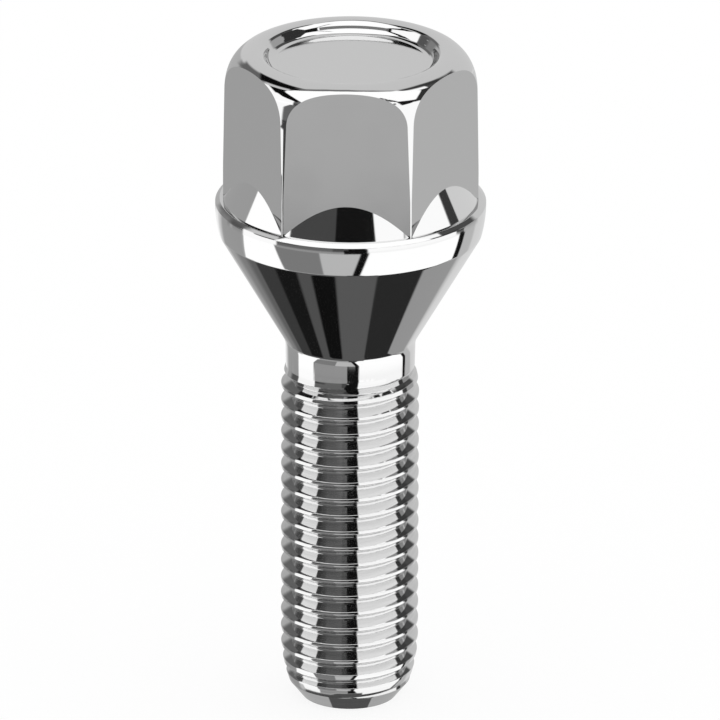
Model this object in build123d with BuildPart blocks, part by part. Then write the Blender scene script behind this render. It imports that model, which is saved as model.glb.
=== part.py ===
# Lug bolt: a hexagon head with a domed and dished top, a round collar, a 60 degree cone seat
# and a shank with a chamfered end, all one piece.
# Millimetres. The origin is the centre of the shank's end face and Z runs up to the head.
import os
from math import radians, tan

from build123d import *

os.makedirs("parts", exist_ok=True)

# Shank, at the crests of an M12 x 1.5 thread
thread_diameter = 11.86
shank_top = 28.9
tip_diameter = 8.26
point_diameter = 10.48
point_height = 1.43
lead_in_height = 5.6

# Neck and cone seat
relief_height = 1.6
neck_diameter = 11.1
neck_length = 2.28
neck_fillet = 4.0
seat_angle = 60.0

# Collar, whose side bulges out a little above the seat
collar_diameter = 23.2
collar_bulge = 0.34
collar_height = 3.1
collar_land = 0.1
collar_chamfer_width = 0.4
collar_chamfer_drop = 0.31

# Flare that rises from the collar's top into the flats
shoulder_width = 0.72
flare_half_angle = 27.2

# Hexagon head
hex_across_flats = 19.0
hex_corner_radius = 0.2
head_height = 13.3

# Dome over the hexagon: narrow flat rim, full curve, then a side that eases out to the corners
rim_flat = 0.03
dome_diameter = 21.62
dome_height = 3.5
dome_fullness = 0.63
corner_taper = 1.0

# Dish in the top, with a sloping wall that rolls into the rim and the floor
dish_diameter = 14.0
dish_depth = 1.0
dish_draft = 30.0
dish_rim_radius = 0.8
dish_floor_radius = 0.8

# Heights worked up from the end face, and the sizes that follow from others
neck_start = shank_top + relief_height
seat_bottom = neck_start + neck_length
seat_diameter = collar_diameter - 2 * collar_bulge
seat_top = seat_bottom + (seat_diameter - neck_diameter) / 2 / tan(radians(seat_angle / 2))
collar_top = seat_top + collar_height
collar_chamfer_foot = collar_top - collar_chamfer_drop
collar_widest = collar_chamfer_foot - collar_land
overall_length = collar_top + head_height
flare_foot_radius = collar_diameter / 2 - shoulder_width
flare_top_radius = hex_across_flats / 2 - 0.5
flare_top = collar_top + (flare_foot_radius - flare_top_radius) / tan(radians(flare_half_angle))
hex_root = collar_top - collar_height / 2
dish_floor = overall_length - dish_depth
dish_mouth_radius = dish_diameter / 2 + dish_depth * tan(radians(dish_draft))
rim_radius = dish_mouth_radius + dish_rim_radius * tan(radians((90 - dish_draft) / 2)) + rim_flat
dome_foot = overall_length - dome_height
dome_run = dome_diameter / 2 - rim_radius
corner_foot_radius = dome_diameter / 2 + (dome_foot - hex_root) * tan(radians(corner_taper))

with BuildPart() as lug_bolt:
    # Hexagon prism with eased corners
    with BuildSketch(Plane.XY.offset(hex_root)) as hexagon:
        RegularPolygon(hex_across_flats / 2, 6, major_radius=False)
        fillet(hexagon.vertices(), hex_corner_radius)
    extrude(amount=overall_length - hex_root)

    # Dome and dish, turned over the prism
    with BuildSketch(Plane.XZ) as dome:
        with BuildLine():
            dish = Line((0, dish_floor), (dish_diameter / 2, dish_floor))
            dish_wall = Line(dish @ 1, (dish_mouth_radius, overall_length))
            rim = Line(dish_wall @ 1, (rim_radius, overall_length))
            crown = Bezier(
                rim @ 1,
                (rim_radius + dome_fullness * dome_run, overall_length),
                (dome_diameter / 2, dome_foot + dome_fullness * dome_height),
                (dome_diameter / 2, dome_foot),
            )
            corner_line = Line(crown @ 1, (corner_foot_radius, hex_root))
            Polyline(corner_line @ 1, (0, hex_root), dish @ 0)
        make_face()
        fillet(dome.vertices().sort_by_distance(dish_wall @ 1)[0], dish_rim_radius)
        fillet(dome.vertices().sort_by_distance(dish_wall @ 0)[0], dish_floor_radius)
    revolve(axis=Axis.Z, mode=Mode.INTERSECT)

    # Shank, neck, seat, collar and flare, turned as one section
    with BuildSketch(Plane.XZ) as turned:
        with BuildLine():
            end = Line((0, 0), (tip_diameter / 2, 0))
            point = Line(end @ 1, (point_diameter / 2, point_height))
            lead_in = TangentArc((thread_diameter / 2, lead_in_height), point @ 1, tangent=(0, -1))
            shank = Line(lead_in @ 0, (thread_diameter / 2, shank_top))
            relief = Line(shank @ 1, (neck_diameter / 2, neck_start))
            neck = Line(relief @ 1, (neck_diameter / 2, seat_bottom))
            seat = Line(neck @ 1, (seat_diameter / 2, seat_top))
            band = TangentArc((collar_diameter / 2, collar_widest), seat @ 1, tangent=(0, -1))
            edge = Line(band @ 0, (collar_diameter / 2, collar_chamfer_foot))
            chamfer = Line(edge @ 1, (collar_diameter / 2 - collar_chamfer_width, collar_top))
            shoulder = Line(chamfer @ 1, (flare_foot_radius, collar_top))
            flare = Line(shoulder @ 1, (flare_top_radius, flare_top))
            Polyline(flare @ 1, (0, flare_top), end @ 0)
        make_face()
        fillet(turned.vertices().sort_by_distance(neck @ 1)[0], neck_fillet)
    revolve(axis=Axis.Z)

lug_bolt.part.label = "lug_bolt"
export_step(lug_bolt.part, "parts/lug_bolt.step")
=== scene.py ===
from math import atan2, copysign, cos, hypot, pi, radians, sin, sqrt, tan

import bmesh
import bpy
from mathutils import Matrix, Quaternion, Vector


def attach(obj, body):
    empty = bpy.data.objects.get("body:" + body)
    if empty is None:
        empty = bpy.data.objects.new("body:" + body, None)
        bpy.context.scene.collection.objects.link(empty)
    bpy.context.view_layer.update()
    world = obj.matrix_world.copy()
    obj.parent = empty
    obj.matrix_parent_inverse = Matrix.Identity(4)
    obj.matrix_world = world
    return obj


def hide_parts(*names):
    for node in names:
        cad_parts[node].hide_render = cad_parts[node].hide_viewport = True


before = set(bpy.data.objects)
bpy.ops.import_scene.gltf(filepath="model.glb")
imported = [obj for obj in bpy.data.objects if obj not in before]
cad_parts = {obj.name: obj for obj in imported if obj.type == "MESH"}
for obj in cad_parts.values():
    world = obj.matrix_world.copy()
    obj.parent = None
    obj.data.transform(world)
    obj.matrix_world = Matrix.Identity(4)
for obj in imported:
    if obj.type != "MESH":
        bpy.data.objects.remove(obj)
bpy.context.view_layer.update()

METRES = 0.001


def micron(size):
    """Rounds a worked-out size to a micrometre."""
    return round(size, 3)


# Thread, with its crests and groove floors as radii from the axis
PITCH = 1.5
CREST_R = 5.93
THREAD_DEPTH = 0.85
ROOT_R = micron(CREST_R - THREAD_DEPTH)
CREST_FLAT = 0.28
CREST_ROUND = 0.08
ROOT_ROUND = 0.16
FLANK_SLOPE = tan(radians(30))
THREAD_START = -2.8
THREAD_TURNS = 24
LEAST_RIDGE = 0.14
MID_FLOOR = 0.01

# Point and rounded lead-in, where the groove grows shallow downwards
TIP_R = 4.13
POINT_R = 5.24
POINT_Z = 1.43
LEAD_Z = 5.6
GROOVE_START = 2.3
GROOVE_FOOT = POINT_Z - 0.1

# Relief and neck, where the groove runs out upwards
FADE_Z = 28.9
RELIEF_HEIGHT = 1.6
NECK_R = 5.55
NECK_LENGTH = 2.28
NECK_SPREAD = 0.021
NECK_Z = micron(FADE_Z + RELIEF_HEIGHT)
GROOVE_END = 29.2
RUN_OUT_Z = NECK_Z + 0.2
RUN_OUT_R = NECK_R + 0.03
JOIN_Z = micron(NECK_Z + 0.7)
SHANK_TOP = micron(JOIN_Z - 0.3)

# Cone seat and collar, whose side bulges out a little above the seat
SEAT_SLOPE = tan(radians(30))
SEAT_FILLET = 2.0
COLLAR_R = 11.6
COLLAR_BULGE = 0.34
COLLAR_HEIGHT = 3.1
COLLAR_LAND = 0.1
CHAMFER_WIDTH = 0.4
CHAMFER_DROP = 0.31
CHAMFER_FOOT_ROUND, CHAMFER_TOP_ROUND = 0.09, 0.12
SEAT_BASE = micron(NECK_Z + NECK_LENGTH)
SEAT_R = micron(COLLAR_R - COLLAR_BULGE)
SEAT_Z = micron(SEAT_BASE + (SEAT_R - NECK_R) / SEAT_SLOPE)
SEAT_FOOT = micron((SEAT_BASE * SEAT_SLOPE - NECK_Z * NECK_SPREAD) / (SEAT_SLOPE - NECK_SPREAD))
COLLAR_TOP = micron(SEAT_Z + COLLAR_HEIGHT)
CHAMFER_R = micron(COLLAR_R - CHAMFER_WIDTH)
CHAMFER_Z = micron(COLLAR_TOP - CHAMFER_DROP)
COLLAR_WIDE = micron(CHAMFER_Z - COLLAR_LAND)

# Hexagon head and the flare that rises into its flats
FLAT_R = 9.5
CORNER_ROUND = 0.2
CORNER_FACETS = (-20, -10, 0, 10, 20)
HEAD_HEIGHT = 13.3
SHOULDER_WIDTH = 0.72
FLARE_ANGLE = 27.2
FLARE_FOOT_R = micron(COLLAR_R - SHOULDER_WIDTH)
FLARE_TOP_R = FLAT_R - 0.5
TOP = micron(COLLAR_TOP + HEAD_HEIGHT)
HEX_ROOT = micron(COLLAR_TOP - COLLAR_HEIGHT / 2)

# Dome over the hexagon, and the dish in its top
DOME_R = 10.81
DOME_HEIGHT = 3.5
DOME_FULL = 0.63
CORNER_TAPER = 1.0
DISH_R = 7.0
DISH_DEPTH = 1.0
DISH_DRAFT = 30
DISH_ROUND = 0.8
RIM_FLAT = 0.03
DOME_Z = micron(TOP - DOME_HEIGHT)
CORNER_FOOT_R = micron(DOME_R + (DOME_Z - HEX_ROOT) * tan(radians(CORNER_TAPER)))
DISH_Z = micron(TOP - DISH_DEPTH)
DISH_MOUTH_R = micron(DISH_R + DISH_DEPTH * tan(radians(DISH_DRAFT)))
RIM_R = micron(DISH_MOUTH_R + DISH_ROUND * tan(radians((90 - DISH_DRAFT) / 2)) + RIM_FLAT)

# Fineness of the mesh
TURN_STEPS = 240
THREAD_STEPS = 160
DOME_PIECES = 28
BAND_PIECES = 10
WIDE_ARC, SMALL_ARC = 12, 4
SMOOTH_ANGLE = 24
MERGE = 1e-5
BORDER_REACH = 0.1
SAME_HEIGHT = 1e-3
SETTLE_ROUNDS = 5


# Tools for the mesh
def rounded(points):
    """Outline points with corner arcs; each point is (radius, height, corner radius, arc pieces)."""
    out = []
    for i, (x, z, rad, n) in enumerate(points):
        here = Vector((x, z))
        if not rad:
            out.append(here)
            continue
        back = (Vector(points[i - 1][:2]) - here).normalized()
        ahead = (Vector(points[i + 1][:2]) - here).normalized()
        half = back.angle(ahead) / 2
        run = rad / tan(half)
        centre = here + (back + ahead).normalized() * (rad / sin(half))
        a, b = here + back * run - centre, here + ahead * run - centre
        sweep = a.angle_signed(b)
        for k in range(n + 1):
            t = -sweep * k / n
            out.append(centre + Vector((a.x * cos(t) - a.y * sin(t), a.x * sin(t) + a.y * cos(t))))
    return out


def side_arc(top, foot, n):
    """Arc that leaves the top point straight down and passes through the foot point."""
    dx, dz = foot[0] - top[0], foot[1] - top[1]
    rad = (dx * dx + dz * dz) / (2 * abs(dx))
    sweep = 2 * atan2(abs(dx), abs(dz))
    sign = 1 if dx > 0 else -1
    return [
        Vector((top[0] + sign * rad * (1 - cos(sweep * k / n)), top[1] - rad * sin(sweep * k / n)))
        for k in range(n + 1)
    ]


def bezier(t, a, b, c, d):
    """Place at t on a curve with these four control values."""
    u = 1 - t
    return a * u**3 + 3 * b * t * u * u + 3 * c * t * t * u + d * t**3


def outline_object(name, points):
    """Open outline in the XZ plane as a mesh object, made active."""
    bpy.ops.object.select_all(action="DESELECT")
    bpy.ops.mesh.primitive_plane_add(size=1)
    obj = bpy.context.object
    obj.name = obj.data.name = name
    bm = bmesh.new()
    verts = [bm.verts.new((p.x, 0, p.y)) for p in points]
    for a, b in zip(verts, verts[1:]):
        bm.edges.new((a, b))
    bm.to_mesh(obj.data)
    bm.free()
    return obj


def edit(obj):
    """Opens one object in edit mode."""
    bpy.ops.object.select_all(action="DESELECT")
    obj.select_set(True)
    bpy.context.view_layer.objects.active = obj
    bpy.ops.object.mode_set(mode="EDIT")
    bpy.ops.mesh.select_mode(type="VERT")


def leave():
    """Closes edit mode."""
    bpy.ops.object.mode_set(mode="OBJECT")


def turn(obj):
    """Spins the outline round the Z axis into a turned skin."""
    edit(obj)
    bpy.ops.mesh.select_all(action="SELECT")
    bpy.ops.mesh.spin(steps=TURN_STEPS, angle=2 * pi, center=(0, 0, 0), axis=(0, 0, 1))
    bpy.ops.mesh.select_all(action="SELECT")
    bpy.ops.mesh.remove_doubles(threshold=MERGE)
    bpy.ops.mesh.normals_make_consistent(inside=False)
    leave()


def slice_off(obj, distance, degrees):
    """Cuts away what lies outside an upright plane at that distance and bearing."""
    n = Vector((cos(radians(degrees)), sin(radians(degrees)), 0))
    edit(obj)
    bpy.ops.mesh.select_all(action="SELECT")
    bpy.ops.mesh.bisect(
        plane_co=n * distance, plane_no=n, use_fill=True, clear_outer=True, threshold=MERGE
    )
    leave()


def level_cut(height, **clear):
    """Cuts the mesh that is being edited at a height."""
    bpy.ops.mesh.select_all(action="SELECT")
    bpy.ops.mesh.bisect(plane_co=(0, 0, height), plane_no=(0, 0, 1), threshold=MERGE, **clear)


def unite(obj, other):
    """Adds the other solid to the object."""
    union = obj.modifiers.new("Union", "BOOLEAN")
    union.operation = "UNION"
    union.object = other
    union.solver = "EXACT"
    bpy.context.view_layer.objects.active = obj
    bpy.ops.object.modifier_apply(modifier=union.name)
    bpy.data.objects.remove(other)


def make_head():
    """Head: a domed and dished blank, cut to a hexagon with eased corners."""
    dish = rounded([
        (0, DISH_Z, 0, 0),
        (DISH_R, DISH_Z, DISH_ROUND, WIDE_ARC),
        (DISH_MOUTH_R, TOP, DISH_ROUND, WIDE_ARC),
        (RIM_R, TOP, 0, 0),
    ])
    rim_pull = RIM_R + DOME_FULL * (DOME_R - RIM_R)
    side_pull = DOME_Z + DOME_FULL * (TOP - DOME_Z)
    crown = [
        Vector((bezier(t, RIM_R, rim_pull, DOME_R, DOME_R), bezier(t, TOP, TOP, side_pull, DOME_Z)))
        for t in (k / DOME_PIECES for k in range(DOME_PIECES + 1))
    ]
    blank = dish[:-1] + crown + [Vector((CORNER_FOOT_R, HEX_ROOT)), Vector((0, HEX_ROOT))]
    head = outline_object("head_blank", blank)
    turn(head)
    for side in range(6):
        slice_off(head, FLAT_R, 30 + 60 * side)
    corner_hub = (FLAT_R - CORNER_ROUND) / cos(radians(30))
    for corner in range(6):
        for lean in CORNER_FACETS:
            slice_off(head, corner_hub * cos(radians(lean)) + CORNER_ROUND, 60 * corner + lean)
    return head


def neck(z):
    """Radius of the neck, which widens a little towards the seat."""
    return NECK_R + NECK_SPREAD * (z - NECK_Z)


def make_body():
    """Turned body: neck, cone seat, collar and flare."""
    flare_top_z = COLLAR_TOP + (FLARE_FOOT_R - FLARE_TOP_R) / tan(radians(FLARE_ANGLE))
    underside = rounded([
        (neck(JOIN_Z), JOIN_Z, 0, 0),
        (neck(SEAT_FOOT), SEAT_FOOT, SEAT_FILLET, WIDE_ARC),
        (SEAT_R, SEAT_Z, 0, 0),
    ])
    band = side_arc((COLLAR_R, COLLAR_WIDE), (SEAT_R, SEAT_Z), BAND_PIECES)
    shoulder = rounded([
        (COLLAR_R, COLLAR_WIDE, 0, 0),
        (COLLAR_R, CHAMFER_Z, CHAMFER_FOOT_ROUND, SMALL_ARC),
        (CHAMFER_R, COLLAR_TOP, CHAMFER_TOP_ROUND, SMALL_ARC),
        (FLARE_FOOT_R, COLLAR_TOP, 0, 0),
    ])
    body_line = [Vector((0, JOIN_Z))] + underside[:-1] + band[::-1] + shoulder[1:]
    body_line += [Vector((FLARE_TOP_R, flare_top_z)), Vector((0, flare_top_z))]
    body = outline_object("turned_body", body_line)
    turn(body)
    return body


def shank_limit(z):
    """Radius of the shank's outside at a height: chamfered point, rounded lead-in, relief, neck."""
    if z < POINT_Z:
        return TIP_R + (POINT_R - TIP_R) * z / POINT_Z
    if z < LEAD_Z:
        dx, dz = CREST_R - POINT_R, LEAD_Z - POINT_Z
        rad = (dx * dx + dz * dz) / (2 * dx)
        return CREST_R - rad + sqrt(rad * rad - (LEAD_Z - z) ** 2)
    if z > NECK_Z:
        return neck(z)
    if z > FADE_Z:
        return CREST_R + (NECK_R - CREST_R) * (z - FADE_Z) / (NECK_Z - FADE_Z)
    return CREST_R


def ease(t):
    """Smooth step from 0 to 1."""
    t = min(1, max(0, t))
    return 3 * t * t - 2 * t**3


def groove_floor(z):
    """Radius of the groove's floor, which rises into the neck over its last turn and at the point."""
    run_out = ease((z - GROOVE_END) / (RUN_OUT_Z - GROOVE_END))
    run_in = ease((GROOVE_START - z) / (GROOVE_START - GROOVE_FOOT))
    return ROOT_R + (RUN_OUT_R - ROOT_R) * run_out + (POINT_R - ROOT_R) * run_in


def screw_thread():
    """Shank: one pitch of the thread, screwed up from below the end face to above the neck."""
    flank = (CREST_R - ROOT_R) * FLANK_SLOPE
    crest_foot, crest_head = (PITCH - CREST_FLAT) / 2, (PITCH + CREST_FLAT) / 2
    ridge = rounded([
        (ROOT_R, 0, 0, 0),
        (ROOT_R, crest_foot - flank, ROOT_ROUND, SMALL_ARC),
        (CREST_R, crest_foot, CREST_ROUND, SMALL_ARC),
        (CREST_R, crest_head, CREST_ROUND, SMALL_ARC),
        (ROOT_R, crest_head + flank, ROOT_ROUND, SMALL_ARC),
        (ROOT_R, PITCH, 0, 0),
    ])
    shank = outline_object("shank", [p + Vector((0, THREAD_START)) for p in ridge])
    screw = shank.modifiers.new("Screw", "SCREW")
    screw.axis, screw.angle, screw.screw_offset = "Z", 2 * pi, PITCH
    screw.iterations = THREAD_TURNS
    screw.steps = screw.render_steps = THREAD_STEPS
    screw.use_merge_vertices, screw.merge_threshold = True, MERGE
    bpy.context.view_layer.objects.active = shank
    bpy.ops.object.modifier_apply(modifier=screw.name)
    edit(shank)
    bpy.ops.mesh.select_all(action="SELECT")
    bpy.ops.mesh.remove_doubles(threshold=10 * MERGE)
    leave()
    return shank


def fade_thread(shank):
    """Slides crests and groove floors along the flanks at both ends, so the flanks keep their slope."""
    depth = CREST_R - ROOT_R
    for v in shank.data.vertices:
        r, z = hypot(v.co.x, v.co.y), v.co.z
        phase = (z - THREAD_START - PITCH * atan2(v.co.y, v.co.x) / (2 * pi)) % PITCH
        # 1 over the crest, -1 under it, 0 in the middle of the groove's floor
        side = 0 if min(phase, PITCH - phase) < MID_FLOOR else copysign(1, phase - PITCH / 2)
        lift = groove_floor(z) - ROOT_R
        if r > (ROOT_R + CREST_R) / 2:
            most = max(0, depth - LEAST_RIDGE - lift)
            drop = 0
            # The limit is read where the crest ends up, so a few rounds settle it
            for _ in range(SETTLE_ROUNDS):
                drop = min(most, CREST_R - shank_limit(z + side * drop * FLANK_SLOPE))
            move, rise = -drop, side * drop * FLANK_SLOPE
        else:
            move, rise = lift, -side * lift * FLANK_SLOPE
        v.co = (v.co.x * (r + move) / r, v.co.y * (r + move) / r, z + rise)


def trim_shank(shank):
    """Cuts the thread to length and brings it within the shank's outside."""
    edit(shank)
    level_cut(POINT_Z)
    level_cut(NECK_Z)
    level_cut(0, clear_inner=True)
    level_cut(SHANK_TOP, clear_outer=True)
    leave()
    for v in shank.data.vertices:
        r = hypot(v.co.x, v.co.y)
        want = min(max(r, groove_floor(v.co.z)), shank_limit(v.co.z))
        v.co.x *= want / r
        v.co.y *= want / r


def open_neck(body):
    """Takes away the body's lowest face, where the shank joins on."""
    bm = bmesh.new()
    bm.from_mesh(body.data)
    lowest = [f for f in bm.faces if all(abs(v.co.z - JOIN_Z) < SAME_HEIGHT for v in f.verts)]
    bmesh.ops.delete(bm, geom=lowest, context="FACES")
    bmesh.ops.delete(bm, geom=[v for v in bm.verts if not v.link_faces], context="VERTS")
    bm.to_mesh(body.data)
    bm.free()


def select_border(obj, low, high):
    """Selects the open edges at two heights and between them."""
    bpy.ops.mesh.select_all(action="DESELECT")
    bm = bmesh.from_edit_mesh(obj.data)
    for e in bm.edges:
        near = all(low - BORDER_REACH < v.co.z < high + BORDER_REACH for v in e.verts)
        e.select_set(near and len(e.link_faces) == 1)
    bm.select_flush_mode()
    bmesh.update_edit_mesh(obj.data)


def close_skin(bolt):
    """Bridges the shank to the neck and fills the end face, so that the bolt is one closed skin."""
    edit(bolt)
    bpy.ops.mesh.select_mode(type="EDGE")
    select_border(bolt, SHANK_TOP, JOIN_Z)
    bpy.ops.mesh.bridge_edge_loops()
    select_border(bolt, 0, 0)
    bpy.ops.mesh.edge_face_add()
    bpy.ops.mesh.select_all(action="SELECT")
    bpy.ops.mesh.normals_make_consistent(inside=False)
    leave()


def smooth(bolt):
    """Smooth shading that follows the large faces, with a crisp edge at the point."""
    bpy.ops.object.select_all(action="DESELECT")
    bolt.select_set(True)
    bpy.context.view_layer.objects.active = bolt
    bpy.ops.object.shade_smooth_by_angle(angle=radians(SMOOTH_ANGLE))
    for e in bolt.data.edges:
        heights = [bolt.data.vertices[v].co.z / METRES for v in e.vertices]
        if all(abs(z - POINT_Z) < SAME_HEIGHT for z in heights):
            e.use_edge_sharp = True
    even = bolt.modifiers.new("Weighted", "WEIGHTED_NORMAL")
    even.keep_sharp = True
    bpy.ops.object.modifier_apply(modifier=even.name)


# The bolt, built up piece by piece and joined to one
head = make_head()
body = make_body()
unite(body, head)
shank = screw_thread()
fade_thread(shank)
trim_shank(shank)
open_neck(body)

bpy.ops.object.select_all(action="DESELECT")
shank.select_set(True)
body.select_set(True)
bpy.context.view_layer.objects.active = body
bpy.ops.object.join()
bolt = body
bolt.name = bolt.data.name = "chrome_lug_bolt"
close_skin(bolt)
bolt.data.transform(Matrix.Scale(METRES, 4))
smooth(bolt)


# Tools for materials and light, which add nodes to the tree that was named last
def node(kind, operation=None, *values):
    """Adds a node; values go to its inputs in order, as links or as numbers."""
    n = tree.nodes.new(kind)
    if operation:
        n.operation = operation
    for k, v in enumerate(values):
        if isinstance(v, bpy.types.NodeSocket):
            tree.links.new(v, n.inputs[k])
        elif v is not None:
            n.inputs[k].default_value = v
    return n


def value(operation, *values):
    """Result of a sum or other arithmetic."""
    return node("ShaderNodeMath", operation, *values).outputs[0]


def ramp(source, low, high, at_low, at_high):
    """Eases from one value to another between two readings of the source."""
    n = node("ShaderNodeMapRange", None, source, low, high, at_low, at_high)
    n.interpolation_type = "SMOOTHSTEP"
    return n.outputs["Result"]


def blend(share, first, second):
    """Mixes two values; a share of 1 gives the second."""
    return node("ShaderNodeMix", None, share, None, first, second).outputs["Result"]


def cloud(where, scale, detail):
    """Cloudy noise."""
    n = node("ShaderNodeTexNoise", None, where)
    n.inputs["Scale"].default_value = scale
    n.inputs["Detail"].default_value = detail
    return n.outputs[0]


# Chrome: bright on the head and cone, satin in the dish, drawn and duller on the thread, with painted
# shade that darkens the thread's colour down into its groove floors
CHROME_SHINE = 0.78
THREAD_SHINE = 0.755
# Painted shade in the groove floors: the thread's colour falls to this value at the root and is full
# again at the radius below
PAINTED_SHADE_ROOT_SHINE = 0.7
ROOT_SHADE_END_R = 5.8
SHINE_RANGE = 0.02
DULL_LOW, DULL_HIGH = 30.2, 30.8
SATIN_LOW, SATIN_HIGH = 57.5, 58.0
SATIN_IN_R, SATIN_OUT_R = 6.5, 6.9
DRAWN_LINES = (150, 150, 9000)
WIPE_SCALE = 260
ROUGH_LOW, ROUGH_HIGH = 0.038, 0.046
DRAWN_ROUGH = 0.02
SATIN_ROUGH = 0.03
# Parts of the noise's range that are stretched over a ramp
SHINE_SPAN = (0.3, 0.7)
DRAWN_SPAN = (0.35, 0.65)
WIPE_SPAN = (0.35, 0.7)

chrome = bpy.data.materials.new("polished_chrome")
chrome.use_nodes = True
tree = chrome.node_tree
shader = tree.nodes["Principled BSDF"]
shader.inputs["Metallic"].default_value = 1

spot = node("ShaderNodeTexCoord").outputs["Object"]
x, y, height = node("ShaderNodeSeparateXYZ", None, spot).outputs
radius = value("SQRT", value("ADD", value("MULTIPLY", x, x), value("MULTIPLY", y, y)))
on_thread = ramp(height, DULL_LOW * METRES, DULL_HIGH * METRES, 1.0, 0.0)
at_top = ramp(height, SATIN_LOW * METRES, SATIN_HIGH * METRES, 0.0, 1.0)
in_dish = value("MULTIPLY", at_top, ramp(radius, SATIN_IN_R * METRES, SATIN_OUT_R * METRES, 1.0, 0.0))

# Drawn lines that run round the shank, and a cloudy wipe over the whole bolt
lines_map = node("ShaderNodeMapping", None, spot)
lines_map.inputs["Scale"].default_value = DRAWN_LINES
drawn = cloud(lines_map.outputs[0], scale=1, detail=3)
wipe = cloud(spot, WIPE_SCALE, detail=4)

# Painted shade: the colour darkens from near the crests down to the groove floors; the drawn lines then
# add real tone
thread_shine_with_root_shade = ramp(radius, ROOT_R * METRES, ROOT_SHADE_END_R * METRES, PAINTED_SHADE_ROOT_SHINE, THREAD_SHINE)
thread_shine_with_root_shade = value("ADD", thread_shine_with_root_shade, ramp(drawn, *SHINE_SPAN, -SHINE_RANGE, SHINE_RANGE))
shine = blend(on_thread, CHROME_SHINE, thread_shine_with_root_shade)
colour = node("ShaderNodeCombineColor", None, shine, shine, shine).outputs[0]
tree.links.new(colour, shader.inputs["Base Color"])

rough = ramp(wipe, *WIPE_SPAN, ROUGH_LOW, ROUGH_HIGH)
rough_lines = value("MULTIPLY", on_thread, ramp(drawn, *DRAWN_SPAN, 0.0, DRAWN_ROUGH))
rough = value("ADD", rough, rough_lines)
rough = value("ADD", rough, value("MULTIPLY", in_dish, SATIN_ROUGH))
tree.links.new(rough, shader.inputs["Roughness"])

bolt.data.materials.clear()
bolt.data.materials.append(chrome)

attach(bolt, "root")
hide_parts("lug_bolt")

# Floor: white to the camera, with a faint shadow, and clear to the chrome
FLOOR_SIZE = 6
FLOOR_TONE = 0.15
bpy.ops.object.select_all(action="DESELECT")
bpy.ops.mesh.primitive_plane_add(size=FLOOR_SIZE)
floor = bpy.context.object
floor.name = floor.data.name = "floor"
paint = bpy.data.materials.new("white_floor")
paint.use_nodes = True
tree = paint.node_tree
tree.nodes.clear()
glow = node("ShaderNodeEmission")
glow.inputs["Strength"].default_value = 1 - FLOOR_TONE
matt = node("ShaderNodeBsdfDiffuse", None, (FLOOR_TONE, FLOOR_TONE, FLOOR_TONE, 1))
seen = node("ShaderNodeAddShader", None, glow.outputs[0], matt.outputs[0]).outputs[0]
path = node("ShaderNodeLightPath").outputs
mirrored = value("MAXIMUM", path["Is Glossy Ray"], path["Is Transmission Ray"])
clear = node("ShaderNodeBsdfTransparent").outputs[0]
surface = node("ShaderNodeMixShader", None, mirrored, seen, clear).outputs[0]
tree.links.new(surface, node("ShaderNodeOutputMaterial").inputs["Surface"])
floor.data.materials.append(paint)

# Room: plain cards of light and dark that only the chrome mirrors, over a white world
VIEW_AZIMUTH, VIEW_ELEVATION = radians(2.0), radians(21.5)
DISPLAY_GAMMA = 2.2
ROOM_GREY = 190
FLARE_LOW, FLARE_HIGH = 25.5, 28.6
SEAT_LOW, SEAT_HIGH = -34, -19
look = Vector((
    -sin(VIEW_AZIMUTH) * cos(VIEW_ELEVATION),
    cos(VIEW_AZIMUTH) * cos(VIEW_ELEVATION),
    -sin(VIEW_ELEVATION),
))

world = bpy.data.worlds.new("studio")
bpy.context.scene.world = world
world.use_nodes = True
tree = world.node_tree
tree.nodes.clear()

# Bearing and tilt, in degrees, of the bolt surface that mirrors each direction towards the camera
way = node("ShaderNodeTexCoord").outputs["Generated"]
facing = node("ShaderNodeVectorMath", "SUBTRACT", way, tuple(look)).outputs[0]
facing = node("ShaderNodeVectorMath", "NORMALIZE", facing).outputs[0]
axes = node("ShaderNodeSeparateXYZ", None, facing).outputs
bearing = value("MULTIPLY", value("ARCTAN2", axes[0], value("MULTIPLY", axes[1], -1.0)), 180 / pi)
tilt = value("MULTIPLY", value("ARCSINE", axes[2]), 180 / pi)
place = node("ShaderNodeCombineXYZ", None, bearing, tilt, 1.0).outputs[0]


def shade(level):
    """Strength at which the chrome shows that grey, 0 to 255."""
    return (level / 255) ** DISPLAY_GAMMA / CHROME_SHINE


def lay_card(light, level, soft, corners):
    """Lays a card with soft edges over the light so far; corners run clockwise as (bearing, tilt)."""
    inside = None
    for (x0, y0), (x1, y1) in zip(corners, corners[1:] + corners[:1]):
        run = hypot(x1 - x0, y1 - y0)
        nx, ny = (y1 - y0) / run, -(x1 - x0) / run
        line = (nx, ny, -(nx * x0 + ny * y0))
        edge = node("ShaderNodeVectorMath", "DOT_PRODUCT", place, line).outputs["Value"]
        inside = edge if inside is None else value("MINIMUM", inside, edge)
    return blend(ramp(inside, -soft / 2, soft / 2, 0.0, 1.0), light, shade(level))


def panel(left, right, low, high):
    """Corners of an upright card."""
    return [(left, low), (left, high), (right, high), (right, low)]


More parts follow.
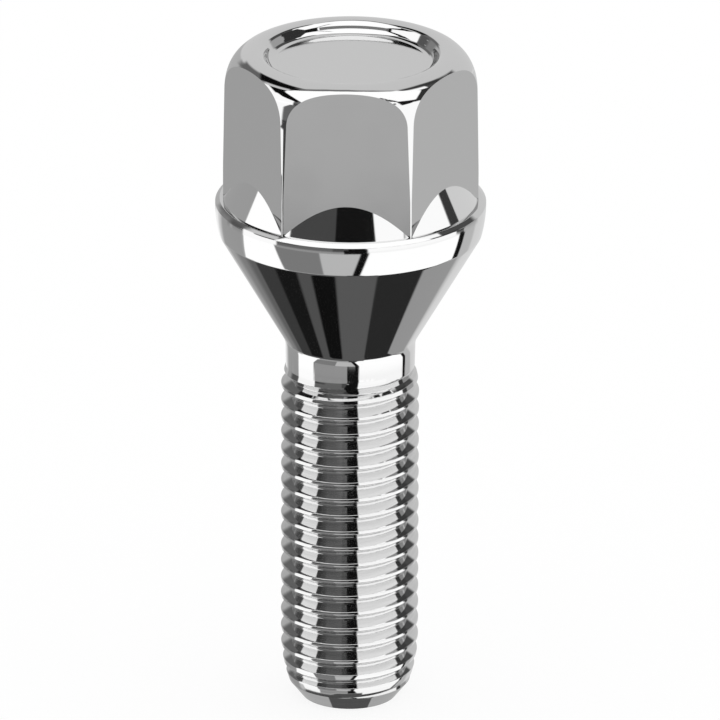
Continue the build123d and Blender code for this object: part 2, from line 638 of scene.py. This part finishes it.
# Grey, softness of the edge in degrees, and corners of each card; later ones lie over earlier ones
cards = [
    # Left side
    (222, 6, panel(-100, -76, -34, 2)),
    (165, 6, panel(-110, -73, 4, 60)),
    (146, 5, panel(-71, -50, -20, 30)),
    (120, 7, panel(-75, -50, 12, 60)),
    (118, 8, panel(-80, -64, 51, 60)),
    (82, 6, panel(-62, -50, 1, 56)),
    # Right side
    (200, 4, panel(60, 100, -34, 2)),
    (176, 3, [(40, -34), (44, -18), (57, 1), (70, 1), (56, -34)]),
    (143, 3, [(32, -34), (36, -26), (42, -19), (56, -19), (56, -34)]),
    (150, 4, panel(53, 71, 0, 47)),
    (72, 5, panel(42, 69, 45, 62)),
    # Tall white card on the left
    (250, 1.5, panel(-50.5, -31, -1.4, 50)),
    (255, 1, [(-50.3, -13.5), (-50.3, -1), (-32.4, -1), (-27.5, -13.5)]),
    (255, 1, [(-43, -16.5), (-46, -12), (-27, -12), (-25.5, -16.5)]),
    # Middle of the room
    (97, 1.5, panel(-31, 9, -1.4, 60)),
    (75, 1.5, panel(-30.8, -21, 0.6, 6)),
    (63, 1.5, panel(-30.8, -26.5, 1, 6)),
    (118, 1, [(-32.4, -1.4), (-10, -1.4), (-8, -13.5), (-27.5, -13.5)]),
    (178, 1, [(-11.4, -1.8), (7, -1.8), (3, -13.5), (-9.5, -13.5)]),
    (141, 1, panel(-25.5, 0.5, -16, -13.5)),
    (22, 1, [(6.7, -0.9), (10.3, -0.9), (6, -13.5), (2.7, -13.5)]),
    (15, 1, [(0.5, -13.3), (6.5, -13.3), (8.5, -16.5), (0.5, -16.5)]),
    (72, 1, panel(-5.5, 0.5, -0.9, 12)),
    (141, 0.4, panel(-31, 1, -2, -1.15)),
    (22, 0.6, [(-0.6, -1.9), (-4.5, 20), (-5, 60), (4, 60), (8, 20), (9.5, -1.9)]),
    # Wide white card on the right
    (255, 1, [(10.3, -1.2), (55.8, -1.2), (52, -13.5), (6.1, -13.5)]),
    (255, 1, [(6.5, -13), (52, -13), (42, -18.5), (14, -18.5), (9, -16)]),
    (250, 1.5, [(9.5, -1.4), (8.2, 20), (7, 60), (42, 60), (46, 44), (52, 20), (54, -1.4)]),
    (25, 1, [(56, -0.5), (60, -0.5), (55.5, -13.5), (51.8, -13.5)]),
    (25, 1, [(52, -13), (54, -13), (43, -20.5), (41, -20)]),
    (20, 1, panel(12, 42, -20.3, -18.6)),
    (62, 1.5, [(53.5, -0.5), (52, 22), (58, 22), (60, -0.5)]),
    (250, 1, [(-33, 18), (-33, 36), (-28, 34.5), (-26, 32), (-26.8, 27), (-29.5, 23)]),
    # Flare above the collar
    (150, 1, panel(-85, -54, FLARE_LOW, FLARE_HIGH)),
    (255, 1, panel(-54, -26.5, FLARE_LOW, FLARE_HIGH)),
    (68, 1, panel(-26, -4, FLARE_LOW, FLARE_HIGH)),
    (25, 1, panel(-5, 13.5, FLARE_LOW, FLARE_HIGH)),
    (250, 1, panel(13.5, 53.5, FLARE_LOW, FLARE_HIGH)),
    (57, 1, panel(54, 60.5, FLARE_LOW, FLARE_HIGH)),
    (200, 1, panel(60.5, 92, FLARE_LOW, FLARE_HIGH)),
    # Flats
    (165, 0.2, panel(-1, 1, 0.15, 1.5)),
    (153, 0.6, panel(-61.2, -58.8, -1.2, 1.6)),
    (170, 0.6, panel(58.8, 61.5, -1.2, 1.6)),
    (158, 1, panel(-61.5, -59, 37, 41)),
    # Dark surroundings of the ceiling card
    (95, 6, panel(-76, -48, 53, 68)),
    (18, 3, [(-52, 55), (-57, 69), (-44, 68), (-24, 62.5), (-16, 57), (-28, 54.5)]),
    (18, 1.5, [(-44, 50), (-30, 50), (-30, 42), (-38, 40)]),
    (18, 1, [(-40, 44), (-33, 45), (-23.5, 34.5), (-24.5, 30.8), (-33, 36)]),
    (105, 3, [(-28, 60), (-12, 69), (0, 71), (14, 67), (26, 60), (20, 55), (-20, 55)]),
    (55, 4, [(28, 55), (27, 60), (40, 62.5), (54, 61.5), (56, 55)]),
    (50, 1.5, [(34, 29.5), (37, 50), (55, 50), (56, 38), (54, 31)]),
    (28, 1, [(24, 35.5), (35, 33), (35, 30.5), (31, 28.5), (27, 27.5)]),
    # Ceiling card
    (255, 1, [
        (-28, 37), (-33.3, 45), (-32.5, 49), (-28, 54.5), (-19, 60), (-10, 64.5), (0, 66), (9, 65),
        (20, 61), (27, 57.8), (33.5, 53.8), (40, 48.5), (38.5, 44), (35.5, 34), (31, 31.2), (10, 29),
        (-20, 29), (-23, 33),
    ]),
    (112, 0.6, panel(-22, 24, 29.2, 32.4)),
    (28, 1, [(24, 35), (34.5, 33), (34.5, 31), (31, 28.5), (27, 27.5)]),
    (45, 1, [(14.5, 47), (17, 46), (25, 35.5), (23.5, 34.5)]),
    # Under the seat
    (185, 8, panel(-78, -40, SEAT_LOW, SEAT_HIGH)),
    (150, 8, panel(-67, -40, SEAT_LOW, SEAT_HIGH)),
    (120, 8, panel(-58, -40, SEAT_LOW, SEAT_HIGH)),
    (92, 6, panel(-50, -40, SEAT_LOW, SEAT_HIGH)),
    (78, 1.5, panel(-43, 14, -34, -16.5)),
    (58, 2, panel(-44, -32, -34, -20)),
    (28, 2, panel(-33, -22, -34, -20.5)),
    (22, 1.5, [(-15.5, -34), (-15.5, -27), (-13, -23), (-5, -23), (-4.5, -34)]),
    (85, 1.5, panel(-4, 15, -34, -20)),
    (43, 1.5, [(13.5, -34), (14.5, -20), (41, -20), (33, -34)]),
    # Under the point
    (165, 3, panel(-60, 62, -50, -33.5)),
    (80, 1, panel(-18, 24, -50, -36.8)),
]
light = shade(ROOM_GREY)
for level, soft, corners in cards:
    light = lay_card(light, level, soft, corners)

path = node("ShaderNodeLightPath").outputs
room = node("ShaderNodeBackground", None, light).outputs[0]
white = node("ShaderNodeBackground", None, (1, 1, 1, 1)).outputs[0]
sky = node("ShaderNodeMixShader", None, path["Is Glossy Ray"], white, room).outputs[0]
tree.links.new(sky, node("ShaderNodeOutputWorld").inputs["Surface"])

# Camera, turned a little about its own axis as in the photo
CAMERA_DISTANCE = 1.366
CAMERA_LENS, CAMERA_SENSOR = 795, 36
CAMERA_ROLL = radians(0.18)
AIM_HEIGHT, AIM_SHIFT = 30.77, 0.84
right = Vector((cos(VIEW_AZIMUTH), sin(VIEW_AZIMUTH), 0))
aim = (Vector((0, 0, AIM_HEIGHT)) + right * AIM_SHIFT) * METRES
facing_bolt = look.to_track_quat("-Z", "Y") @ Quaternion((0, 0, 1), CAMERA_ROLL)
camera = bpy.data.objects.new("camera", bpy.data.cameras.new("camera"))
bpy.context.scene.collection.objects.link(camera)
camera.location = aim - look * CAMERA_DISTANCE
camera.rotation_euler = facing_bolt.to_euler()
camera.data.sensor_width = CAMERA_SENSOR
camera.data.lens = CAMERA_LENS
camera.data.clip_start, camera.data.clip_end = 0.01, 20
bpy.context.scene.camera = camera
bpy.context.scene.view_settings.view_transform = "Standard"
